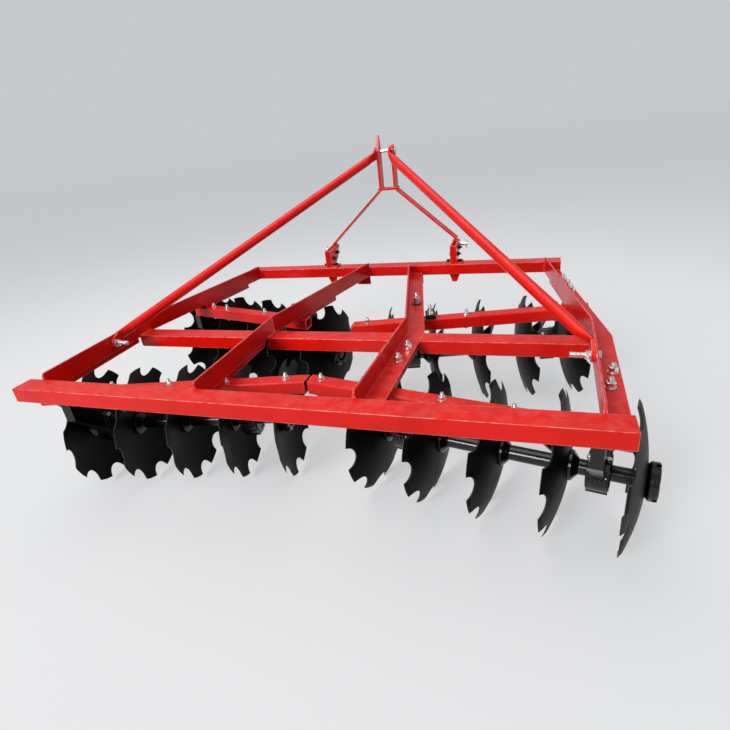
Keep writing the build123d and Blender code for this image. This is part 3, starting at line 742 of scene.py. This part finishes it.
# how far each lower bracket's middle is from the frame's, in millimetres
bracket_x = 341.5
base_bolt_shape = skinned("base_bolt", [
    washer_rings(0.0125, 0.008, 0.0105),
    nut_rings(M12_FLATS, 0.0105, 0.0185),
    washer_rings(0.0125, -0.0165, -0.014),
    nut_rings(M12_FLATS, -0.0265, -0.0165),
    thread_rings(M12_RADIUS, -0.046, -0.0265),
])
base_bolt_spots = [
    (on_frame(side * bracket_x + off, 1489, 0), UP) for side in (-1, 1) for off in (-30, 30)
]
stood_on(
    "base_bolts", base_bolt_spots, base_bolt_shape, black_enamel, "frame", seed=7,
)
cheek_bolt_shape = skinned("cheek_bolt", [
    nut_rings(M12_FLATS, 0.016, 0.025),
    thread_rings(M12_RADIUS, 0.025, 0.033),
    nut_rings(M12_FLATS, -0.024, -0.016),
])
cheek_bolt_spots = [
    (on_frame(side * bracket_x, y, z), Vector((1, 0, 0)))
    for side in (-1, 1) for y, z in ((1500, 44), (1548, 66))
]
stood_on(
    "cheek_bolts", cheek_bolt_spots, cheek_bolt_shape, black_enamel, "frame", seed=9,
)

# ---------------------------------------------------------------------------------------------
# Linch pins: a bright pin dropped through the end of each hitch pin, with a sprung wire ring that
# snaps down over it.
# ---------------------------------------------------------------------------------------------


def bent_wire(name, lines, radius, material, body):
    """Round wire along lines of points, each closed or open, as one mesh."""
    curve = bpy.data.curves.new(name, "CURVE")
    curve.dimensions = "3D"
    curve.bevel_depth = radius
    curve.bevel_resolution = 3
    curve.use_fill_caps = True
    for points, closed in lines:
        line = curve.splines.new("POLY")
        line.points.add(len(points) - 1)
        for spot, point in zip(line.points, points):
            spot.co = (*point, 1.0)
        line.use_cyclic_u = closed
    host = bpy.data.objects.new(name, curve)
    bpy.context.scene.collection.objects.link(host)
    drawn = host.evaluated_get(bpy.context.evaluated_depsgraph_get())
    mesh = bpy.data.meshes.new_from_object(drawn)
    mesh.name = name
    bpy.data.objects.remove(host)
    mesh.polygons.foreach_set("use_smooth", [True] * len(mesh.polygons))
    placed(name, mesh, material, body)


def wire_ring(middle, radius, lean=0.0):
    """Points of a ring that stands along the harrow, and may lean sideways at its top."""
    points = []
    for step in range(40):
        angle = step * math.tau / 40
        points.append(middle + Vector((
            lean * math.sin(angle), radius * math.cos(angle), radius * math.sin(angle),
        )))
    return points, True


linch_shape = skinned("linch_pin", [
    [
        round_ring(0.0028, -0.022), round_ring(0.0042, -0.019), round_ring(0.0042, 0.014),
        round_ring(0.0052, 0.0142), round_ring(0.0052, 0.019), round_ring(0.0035, 0.0205),
    ],
])
pin_low, pin_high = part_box("lower_link_pins")
pin_y, pin_z = (pin_low.y + pin_high.y) / 2, (pin_low.z + pin_high.z) / 2
top_low, top_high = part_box("top_link_pin")
top_y, top_z = (top_low.y + top_high.y) / 2, (top_low.z + top_high.z) / 2
# each linch pin's place, and its ring's radius
linch_places = [
    (Vector((pin_high.x - 0.006, pin_y, pin_z)), 0.0165),
    (Vector((pin_low.x + 0.006, pin_y, pin_z)), 0.0165),
    (Vector((top_high.x - 0.0045, top_y, top_z)), 0.0145),
]
linch_spots = [(place, UP) for place, _ in linch_places]
stood_on("linch_pins", linch_spots, linch_shape, zinc_plate, "frame")
# a ring hangs from each pin's head and leans back round the hitch pin
ring_lines = [
    wire_ring(place + Vector((0.0, -0.004, 0.017 - reach)), reach, lean=0.0025)
    for place, reach in linch_places
]
# the lifting rings on the hitch pins' inner heads
head_reach, lift_radius = 0.057 + 0.022, 0.019
for edge in (pin_low.x + head_reach - 0.006, pin_high.x - head_reach + 0.006):
    ring_lines.append(wire_ring(Vector((edge, pin_y - 0.012, pin_z - 0.010)), lift_radius))
bent_wire("linch_rings", ring_lines, 0.0017, zinc_plate, "frame")

# ---------------------------------------------------------------------------------------------
# Weld beads: stick welds laid by hand wherever bars, rails, plates and the mast meet. They are
# short overlapping ripples, painted over with the frame.
# ---------------------------------------------------------------------------------------------

weld_tree = bpy.data.node_groups.new("weld_bead", "GeometryNodeTree")
weld_tree.interface.new_socket("Geometry", in_out="INPUT", socket_type="NodeSocketGeometry")
for label, kind, value in (
    ("Ripple Pitch", "NodeSocketFloat", 0.0022), ("Bead Radius", "NodeSocketFloat", 0.0034),
    ("Unevenness", "NodeSocketFloat", 0.22), ("Seed", "NodeSocketInt", 12),
):
    weld_tree.interface.new_socket(label, in_out="INPUT", socket_type=kind).default_value = value
weld_tree.interface.new_socket("Finish", in_out="INPUT", socket_type="NodeSocketMaterial")
weld_tree.interface.new_socket("Geometry", in_out="OUTPUT", socket_type="NodeSocketGeometry")
weld_in, weld_out = weld_tree.nodes.new("NodeGroupInput"), weld_tree.nodes.new("NodeGroupOutput")
seam_line = weld_tree.nodes.new("GeometryNodeMeshToCurve")
stepped = weld_tree.nodes.new("GeometryNodeResampleCurve")
stepped.mode = "LENGTH"
ripple = weld_tree.nodes.new("GeometryNodeMeshIcoSphere")
ripple.inputs["Subdivisions"].default_value = 2
ripples = weld_tree.nodes.new("GeometryNodeInstanceOnPoints")
along_seam = weld_tree.nodes.new("GeometryNodeInputTangent")
lay = weld_tree.nodes.new("FunctionNodeAlignRotationToVector")
lay.axis = "X"
leanest = weld_tree.nodes.new("ShaderNodeMath")
leanest.operation = "SUBTRACT"
leanest.inputs[0].default_value = 1.0
fullness = weld_tree.nodes.new("FunctionNodeRandomValue")
fullness.inputs[3].default_value = 1.15
flatten = weld_tree.nodes.new("ShaderNodeVectorMath")
flatten.operation = "MULTIPLY"
flatten.inputs[1].default_value = (0.62, 1.0, 0.8)
weld_solid = weld_tree.nodes.new("GeometryNodeRealizeInstances")
weld_smooth = weld_tree.nodes.new("GeometryNodeSetShadeSmooth")
weld_finish = weld_tree.nodes.new("GeometryNodeSetMaterial")
wire(
    weld_tree,
    (weld_in.outputs["Geometry"], seam_line.inputs[0]),
    (seam_line.outputs[0], stepped.inputs["Curve"]),
    (weld_in.outputs["Ripple Pitch"], stepped.inputs["Length"]),
    (stepped.outputs[0], ripples.inputs["Points"]),
    (weld_in.outputs["Bead Radius"], ripple.inputs["Radius"]),
    (ripple.outputs["Mesh"], ripples.inputs["Instance"]),
    (along_seam.outputs[0], lay.inputs["Vector"]),
    (lay.outputs[0], ripples.inputs["Rotation"]),
    (weld_in.outputs["Unevenness"], leanest.inputs[1]),
    (leanest.outputs[0], fullness.inputs[2]),
    (weld_in.outputs["Seed"], fullness.inputs["Seed"]),
    (fullness.outputs[1], flatten.inputs[0]),
    (flatten.outputs[0], ripples.inputs["Scale"]),
    (ripples.outputs[0], weld_solid.inputs[0]),
    (weld_solid.outputs[0], weld_smooth.inputs["Geometry"]),
    (weld_smooth.outputs[0], weld_finish.inputs["Geometry"]),
    (weld_in.outputs["Finish"], weld_finish.inputs["Material"]),
    (weld_finish.outputs[0], weld_out.inputs[0]),
)


# the rails bend between the rear bar and the front bar, which lie this far apart
front_bar_y = 1451


def side_rail_edge(y):
    """The inner face of a side rail, out from the frame's middle."""
    if y < rail_bend:
        return 898 + rail_spread * y / rail_bend
    return 916 - 138 * (y - rail_bend) / (front_bar_y - rail_bend)


def inner_rail_edge(y):
    """The inner face of an inner rail, out from the frame's middle."""
    if y < rail_bend:
        return 261 + rail_spread * y / rail_bend
    return 279 - 170.4 * (y - rail_bend) / (front_bar_y - rail_bend)


rail_edges = (side_rail_edge, inner_rail_edge)
flange_width = 70.5
seams = []
for side in (-1, 1):

    def seam(start, end):
        """A weld from one place to another, given for the right side."""
        seams.append([(side * x, y, z) for x, y, z in (start, end)])

    for edge in rail_edges:
        # rail ends on the rear bar's flange and the front bar's leg
        near, far = edge(76), edge(front_bar_y)
        seam((near, 77, -1), (near, 77, 7))
        seam((near + 6, 77, -1), (near + 6, 77, 7))
        seam((near + 8, 77, -6), (near + 66, 77, -6))
        seam((far, 1450, -44), (far, 1450, -2))
        seam((far + 7, 1450, -40), (far + 7, 1450, -2))
        seam((far + 8, 1449, -40), (far + 66, 1449, -40))
    # the crossbar against the rails: across the flanges, and up the legs
    back, front = 572, 646
    inner, outer = (inner_rail_edge, flange_width), (side_rail_edge, -0.5)
    for edge, reach in (inner, (inner_rail_edge, -0.5), outer):
        seam((edge(back) + reach, 574, -41), (edge(front) + reach, front, -41))
    for edge, reach in (inner, outer):
        seam((edge(back) + reach, 571.5, -46), (edge(back) + reach, 571.5, -86))
    # cleats under the inner rails' front ends
    seam((110, 1444.5, -48), (181, 1444.5, -48))
    # pads, stitched under the rails' flange edges
    for back in (150, 330, 500):
        for reach in (4.5, 65.5):
            for edge in rail_edges:
                seam((edge(back) + reach, back, -47.5), (edge(back + 45) + reach, back + 45, -47.5))
    # bracket bases on the front bar, laid the same way on both sides
    middle = side * bracket_x
    seams.append([(middle - 40, 1454, 0.5), (middle + 40, 1454, 0.5)])
    seams.append([(middle - 15.5, 1457, 9), (middle - 15.5, 1500, 9)])
    seams.append([(middle + 15.5, 1457, 9), (middle + 15.5, 1500, 9)])
    # mast legs and uprights on the spreader
    seam((45, 1562, 372), (45, 1608, 372))
    seam((31, 1562, 384.5), (31, 1608, 384.5))
    seam((33, 1560, 384.5), (44, 1560, 384.5))
seam_points, seam_edges = [], []
for ends in seams:
    start = len(seam_points)
    seam_points += [tuple(on_frame(*point)) for point in ends]
    seam_edges.append((start, start + 1))
seam_mesh = bpy.data.meshes.new("weld_beads")
seam_mesh.from_pydata(seam_points, seam_edges, [])
seam_host = bpy.data.objects.new("weld_seams", seam_mesh)
bpy.context.scene.collection.objects.link(seam_host)
bead = seam_host.modifiers.new("bead", "NODES")
bead.node_group = weld_tree
weld_sockets = weld_tree.interface.items_tree
bead[next(item.identifier for item in weld_sockets if item.name == "Finish")] = red_enamel
laid = seam_host.evaluated_get(bpy.context.evaluated_depsgraph_get())
bead_mesh = bpy.data.meshes.new_from_object(laid)
bpy.data.objects.remove(seam_host)
placed("weld_beads", bead_mesh, red_enamel, "frame")

# ---------------------------------------------------------------------------------------------
# Spatter: small drops thrown along the rear left gang beam's upper edge while it was welded,
# left on and painted over.
# ---------------------------------------------------------------------------------------------

drop_shape = skinned("drop", [[
    round_ring(0.0011, -0.0004, 8), round_ring(0.0013, 0.0003, 8), round_ring(0.0008, 0.0010, 8),
    round_ring(0.0002, 0.0013, 8),
]])
drop_count, inner_end, thrown_over, thrown_deep, edge_back = 46, 120, 620, 14, 27
left_beam_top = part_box("rear_left_gang_beam")[1].z
root_y, swing = beam_lines["rear"]
drop_spots = []
for number in range(drop_count):
    across = inner_end + thrown_over * ((number * 0.618) % 1.0)
    depth = thrown_deep * ((number * 0.377) % 1.0) ** 2
    line_y = root_y + math.tan(swing) * (across + beam_root) - edge_back + depth
    place = on_frame(-across, line_y, 0)
    drop_spots.append((Vector((place.x, place.y, left_beam_top)), UP))
stood_on(
    "spatter", drop_spots, drop_shape, red_enamel, "frame", seed=21, spread=0.65,
)

# ---------------------------------------------------------------------------------------------
# Floor, lights and camera: a plain pale floor that glows a little to whoever looks at it, two
# large soft lamps above and behind, a pale sky, and a camera above the right rear corner.
# ---------------------------------------------------------------------------------------------

floor_mesh = bpy.data.meshes.new("floor")
half = 60
corners = [(-half, -half, 0), (half, -half, 0), (half, half, 0), (-half, half, 0)]
floor_mesh.from_pydata(corners, [], [(0, 1, 2, 3)])
floor = bpy.data.objects.new("floor", floor_mesh)
bpy.context.scene.collection.objects.link(floor)
floor_finish = bpy.data.materials.new("floor_finish")
floor_finish.use_nodes = True
floor_tree = floor_finish.node_tree
floor_surface = floor_tree.nodes["Principled BSDF"]
floor_place = floor_tree.nodes.new("ShaderNodeTexCoord").outputs["Object"]
from_middle = floor_tree.nodes.new("ShaderNodeVectorMath")
from_middle.operation = "LENGTH"
wire(floor_tree, (floor_place, from_middle.inputs[0]))
# the glow is a painted pool of light, brightest near the harrow and dimmer further out, and a
# little brighter again far off to make up for the lamps' fall-off
near_radius = 2.6
near_glow, middle_glow, far_glow = (0.485, 0.495, 0.505), (0.385, 0.405, 0.42), (0.425, 0.45, 0.47)
nearness = arithmetic(floor_tree, "DIVIDE", near_radius, from_middle.outputs["Value"], clamp=True)
floor_glow = tint(floor_tree, graded(floor_tree, nearness, 0.25, 1.0), middle_glow, near_glow)
far_off = graded(floor_tree, nearness, 0.42, 0.05)
floor_glow = tint(floor_tree, far_off, floor_glow, far_glow)
cloudy = speckle(floor_tree, floor_place, 0.6, 3.0)
floor_colour = tint(floor_tree, cloudy, (0.29, 0.29, 0.29), (0.31, 0.31, 0.31))
ray = floor_tree.nodes.new("ShaderNodeLightPath").outputs
seen = arithmetic(floor_tree, "ADD", ray["Is Camera Ray"], ray["Is Glossy Ray"], clamp=True)
floor_surface.inputs["Roughness"].default_value = 0.9
floor_surface.inputs["Specular IOR Level"].default_value = 0.0
wire(
    floor_tree,
    (floor_colour, floor_surface.inputs["Base Color"]),
    (floor_glow, floor_surface.inputs["Emission Color"]),
    (seen, floor_surface.inputs["Emission Strength"]),
)
floor_mesh.materials.append(floor_finish)

world = bpy.data.worlds.new("studio")
bpy.context.scene.world = world
world.use_nodes = True
sky_tree = world.node_tree
sky = sky_tree.nodes["Background"]
backdrop = sky_tree.nodes.new("ShaderNodeBackground")
backdrop.inputs["Color"].default_value = (0.558, 0.584, 0.604, 1.0)
sky.inputs["Color"].default_value = (0.97, 0.98, 1.0, 1.0)
sky.inputs["Strength"].default_value = 0.42
chosen = sky_tree.nodes.new("ShaderNodeMixShader")
looked_at = sky_tree.nodes.new("ShaderNodeLightPath")
wire(
    sky_tree,
    (looked_at.outputs["Is Camera Ray"], chosen.inputs[0]),
    (sky.outputs[0], chosen.inputs[1]),
    (backdrop.outputs[0], chosen.inputs[2]),
    (chosen.outputs[0], sky_tree.nodes["World Output"].inputs["Surface"]),
)

lamps = [
    # name, place, aim, size, power
    ("overhead", (-0.8, 0.4, 5.0), (0.0, 0.0, 0.4), 4.2, 95.0),
    ("left_behind", (-4.2, -10.0, 6.2), (0.0, 0.0, 0.4), 4.6, 1050.0),
]
for name, place, aim, size, power in lamps:
    lamp = bpy.data.lights.new(name, "AREA")
    lamp.shape = "DISK"
    lamp.size = size
    lamp.energy = power
    holder = bpy.data.objects.new(name, lamp)
    bpy.context.scene.collection.objects.link(holder)
    holder.location = place
    holder.rotation_mode = "QUATERNION"
    holder.rotation_quaternion = (Vector(aim) - Vector(place)).to_track_quat("-Z", "Y")

camera_data = bpy.data.cameras.new("camera")
camera_data.sensor_width = 36.0
camera_data.lens = 24.32
camera_data.shift_x = 0.0025
camera_data.shift_y = 0.0022
camera = bpy.data.objects.new("camera", camera_data)
bpy.context.scene.collection.objects.link(camera)
yaw, pitch, roll = (math.radians(angle) for angle in (20.723, -25.556, -7.095))
heading = Matrix.Rotation(yaw, 4, "Z") @ Matrix.Rotation(math.pi / 2 + pitch, 4, "X")
heading = heading @ Matrix.Rotation(roll, 4, "Z")
camera.matrix_world = Matrix.Translation(on_frame(727.5, -1039.2, 670.6)) @ heading
bpy.context.scene.camera = camera

bpy.context.scene.view_settings.view_transform = "Standard"
